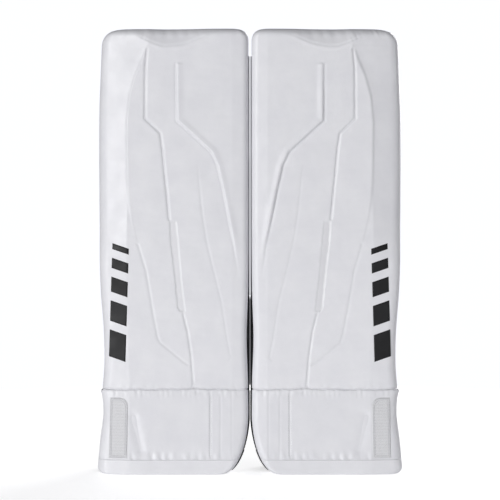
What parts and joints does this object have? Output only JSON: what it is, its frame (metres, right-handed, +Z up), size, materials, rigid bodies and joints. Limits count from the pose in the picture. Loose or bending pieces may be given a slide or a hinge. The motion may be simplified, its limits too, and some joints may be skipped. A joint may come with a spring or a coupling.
{
  "type": "goalie leg pads",
  "caption": "Pair of tall flat-faced foam leg pads with flexing boots, padded leg channels, folding calf and knee wings, and opening straps.",
  "frame": {"origin": "on the floor under the middle of the pair's width and depth", "axes": "+Z up, the white faces look along -Y, +X towards the goalie's left pad"},
  "size_m": [0.566, 0.2388, 0.82],
  "materials": {
    "white_cover": "smooth white synthetic leather, low sheen",
    "white_strip": "smooth white wear material, slightly glossier than the cover",
    "grey_patch": "flat grey embroidered patch",
    "black_print": "black heat-set print, satin",
    "black_leather": "black grained synthetic leather",
    "black_nylon": "black ballistic nylon, plain weave",
    "liner_mesh": "dark charcoal knitted lining, matt",
    "firm_foam": "dark firm closed-cell foam",
    "soft_foam": "off-white layered foam",
    "spine_plastic": "white polyethylene sheet",
    "webbing": "black woven nylon webbing with hook and loop ends"
  },
  "bodies": {
    "right_pad": {"right_face_cover": "white_cover", "right_front_foam_core": "soft_foam", "right_spine_plate": "spine_plastic", "right_rear_foam_core": "firm_foam", "right_back_cover": "black_nylon", "right_inner_edge_binding": "black_leather", "right_side_graphic": "black_print", "right_shin_liner": "liner_mesh", "right_knee_cradle": "liner_mesh", "right_thigh_liner": "black_nylon", "right_knee_stack_ice_block": "black_leather", "right_knee_stack_middle_block": "firm_foam", "right_knee_stack_inner_block": "black_nylon"},
    "right_boot": {"right_boot_cover": "white_cover", "right_boot_foam_core": "soft_foam", "right_boot_wear_strip": "white_strip", "right_boot_edge_binding": "black_leather", "right_boot_liner": "liner_mesh", "right_boot_tag": "grey_patch", "right_toe_tab": "black_leather"},
    "right_toe_loop": {"right_toe_strap": "webbing"},
    "right_inner_calf_flap": {"right_inner_calf_wing": "black_nylon"},
    "right_outer_calf_flap": {"right_outer_calf_wing": "white_cover"},
    "right_outer_knee_flap": {"right_outer_knee_wing": "white_cover"},
    "right_knee_band": {"right_knee_strap": "webbing"},
    "right_upper_calf_band": {"right_upper_calf_strap": "webbing"},
    "right_lower_calf_band": {"right_lower_calf_strap": "webbing"},
    "right_inner_boot_flap": {"right_inner_boot_wing": "black_nylon"},
    "right_outer_boot_flap": {"right_outer_boot_wing": "white_cover"},
    "right_boot_band": {"right_boot_strap": "webbing"},
    "left_pad": {"left_face_cover": "white_cover", "left_front_foam_core": "soft_foam", "left_spine_plate": "spine_plastic", "left_rear_foam_core": "firm_foam", "left_back_cover": "black_nylon", "left_inner_edge_binding": "black_leather", "left_side_graphic": "black_print", "left_shin_liner": "liner_mesh", "left_knee_cradle": "liner_mesh", "left_thigh_liner": "black_nylon", "left_knee_stack_ice_block": "black_leather", "left_knee_stack_middle_block": "firm_foam", "left_knee_stack_inner_block": "black_nylon"},
    "left_boot": {"left_boot_cover": "white_cover", "left_boot_foam_core": "soft_foam", "left_boot_wear_strip": "white_strip", "left_boot_edge_binding": "black_leather", "left_boot_liner": "liner_mesh", "left_boot_tag": "grey_patch", "left_toe_tab": "black_leather"},
    "left_toe_loop": {"left_toe_strap": "webbing"},
    "left_inner_calf_flap": {"left_inner_calf_wing": "black_nylon"},
    "left_outer_calf_flap": {"left_outer_calf_wing": "white_cover"},
    "left_outer_knee_flap": {"left_outer_knee_wing": "white_cover"},
    "left_knee_band": {"left_knee_strap": "webbing"},
    "left_upper_calf_band": {"left_upper_calf_strap": "webbing"},
    "left_lower_calf_band": {"left_lower_calf_strap": "webbing"},
    "left_inner_boot_flap": {"left_inner_boot_wing": "black_nylon"},
    "left_outer_boot_flap": {"left_outer_boot_wing": "white_cover"},
    "left_boot_band": {"left_boot_strap": "webbing"}
  },
  "joints": [
    {"name": "pads_apart", "type": "slide", "parent": "right_pad", "child": "left_pad", "axis": [1, 0, 0], "range_m": [0, 0.3]},
    {"name": "right_boot_flex", "type": "hinge", "parent": "right_pad", "child": "right_boot", "pos_m": [-0.143, -0.08944, 0.153], "axis": [1, 0, 0], "range_deg": [-15, 5], "stiffness_Nm_per_rad": 60},
    {"name": "right_toe_strap_swing", "type": "hinge", "parent": "right_boot", "child": "right_toe_loop", "pos_m": [-0.143, -0.05801, 0.0425], "axis": [1, 0, 0], "range_deg": [0, 45], "stiffness_Nm_per_rad": 0.05},
    {"name": "right_inner_calf_wing_fold", "type": "hinge", "parent": "right_pad", "child": "right_inner_calf_flap", "pos_m": [-0.049, -0.02394, 0.3], "axis": [0, 0, 1], "range_deg": [-20, 50], "stiffness_Nm_per_rad": 0.6},
    {"name": "right_outer_calf_wing_open", "type": "hinge", "parent": "right_pad", "child": "right_outer_calf_flap", "pos_m": [-0.247, -0.02744, 0.3], "axis": [0, 0, 1], "range_deg": [0, 90], "stiffness_Nm_per_rad": 0.6},
    {"name": "right_outer_knee_wing_open", "type": "hinge", "parent": "right_pad", "child": "right_outer_knee_flap", "pos_m": [-0.247, -0.02744, 0.517], "axis": [0, 0, 1], "range_deg": [0, 90], "stiffness_Nm_per_rad": 0.5},
    {"name": "right_knee_strap_open", "type": "hinge", "parent": "right_outer_knee_flap", "child": "right_knee_band", "pos_m": [-0.247, 0.06636, 0.517], "axis": [0, 0, 1], "range_deg": [0, 110]},
    {"name": "right_upper_calf_strap_open", "type": "hinge", "parent": "right_outer_calf_flap", "child": "right_upper_calf_band", "pos_m": [-0.247, 0.07836, 0.38], "axis": [0, 0, 1], "range_deg": [0, 110]},
    {"name": "right_lower_calf_strap_open", "type": "hinge", "parent": "right_outer_calf_flap", "child": "right_lower_calf_band", "pos_m": [-0.247, 0.07836, 0.245], "axis": [0, 0, 1], "range_deg": [0, 110]},
    {"name": "right_inner_boot_wing_fold", "type": "hinge", "parent": "right_boot", "child": "right_inner_boot_flap", "pos_m": [-0.049, -0.05318, 0.06], "axis": [0, 0.2764, 0.961], "range_deg": [-20, 35], "stiffness_Nm_per_rad": 0.6},
    {"name": "right_outer_boot_wing_open", "type": "hinge", "parent": "right_boot", "child": "right_outer_boot_flap", "pos_m": [-0.241, -0.05418, 0.06], "axis": [0, 0.2764, 0.961], "range_deg": [0, 80], "stiffness_Nm_per_rad": 0.6},
    {"name": "right_boot_strap_open", "type": "hinge", "parent": "right_outer_boot_flap", "child": "right_boot_band", "pos_m": [-0.241, 0.03036, 0.111], "axis": [0, 0, 1], "range_deg": [0, 110]},
    {"name": "left_boot_flex", "type": "hinge", "parent": "left_pad", "child": "left_boot", "pos_m": [0.143, -0.08944, 0.153], "axis": [1, 0, 0], "range_deg": [-15, 5], "stiffness_Nm_per_rad": 60},
    {"name": "left_toe_strap_swing", "type": "hinge", "parent": "left_boot", "child": "left_toe_loop", "pos_m": [0.143, -0.05801, 0.0425], "axis": [1, 0, 0], "range_deg": [0, 45], "stiffness_Nm_per_rad": 0.05},
    {"name": "left_inner_calf_wing_fold", "type": "hinge", "parent": "left_pad", "child": "left_inner_calf_flap", "pos_m": [0.049, -0.02394, 0.3], "axis": [0, 0, -1], "range_deg": [-20, 50], "stiffness_Nm_per_rad": 0.6},
    {"name": "left_outer_calf_wing_open", "type": "hinge", "parent": "left_pad", "child": "left_outer_calf_flap", "pos_m": [0.247, -0.02744, 0.3], "axis": [0, 0, -1], "range_deg": [0, 90], "stiffness_Nm_per_rad": 0.6},
    {"name": "left_outer_knee_wing_open", "type": "hinge", "parent": "left_pad", "child": "left_outer_knee_flap", "pos_m": [0.247, -0.02744, 0.517], "axis": [0, 0, -1], "range_deg": [0, 90], "stiffness_Nm_per_rad": 0.5},
    {"name": "left_knee_strap_open", "type": "hinge", "parent": "left_outer_knee_flap", "child": "left_knee_band", "pos_m": [0.247, 0.06636, 0.517], "axis": [0, 0, -1], "range_deg": [0, 110]},
    {"name": "left_upper_calf_strap_open", "type": "hinge", "parent": "left_outer_calf_flap", "child": "left_upper_calf_band", "pos_m": [0.247, 0.07836, 0.38], "axis": [0, 0, -1], "range_deg": [0, 110]},
    {"name": "left_lower_calf_strap_open", "type": "hinge", "parent": "left_outer_calf_flap", "child": "left_lower_calf_band", "pos_m": [0.247, 0.07836, 0.245], "axis": [0, 0, -1], "range_deg": [0, 110]},
    {"name": "left_inner_boot_wing_fold", "type": "hinge", "parent": "left_boot", "child": "left_inner_boot_flap", "pos_m": [0.049, -0.05318, 0.06], "axis": [0, -0.2764, -0.961], "range_deg": [-20, 35], "stiffness_Nm_per_rad": 0.6},
    {"name": "left_outer_boot_wing_open", "type": "hinge", "parent": "left_boot", "child": "left_outer_boot_flap", "pos_m": [0.241, -0.05418, 0.06], "axis": [0, -0.2764, -0.961], "range_deg": [0, 80], "stiffness_Nm_per_rad": 0.6},
    {"name": "left_boot_strap_open", "type": "hinge", "parent": "left_outer_boot_flap", "child": "left_boot_band", "pos_m": [0.241, 0.03036, 0.111], "axis": [0, 0, -1], "range_deg": [0, 110]}
  ]
}
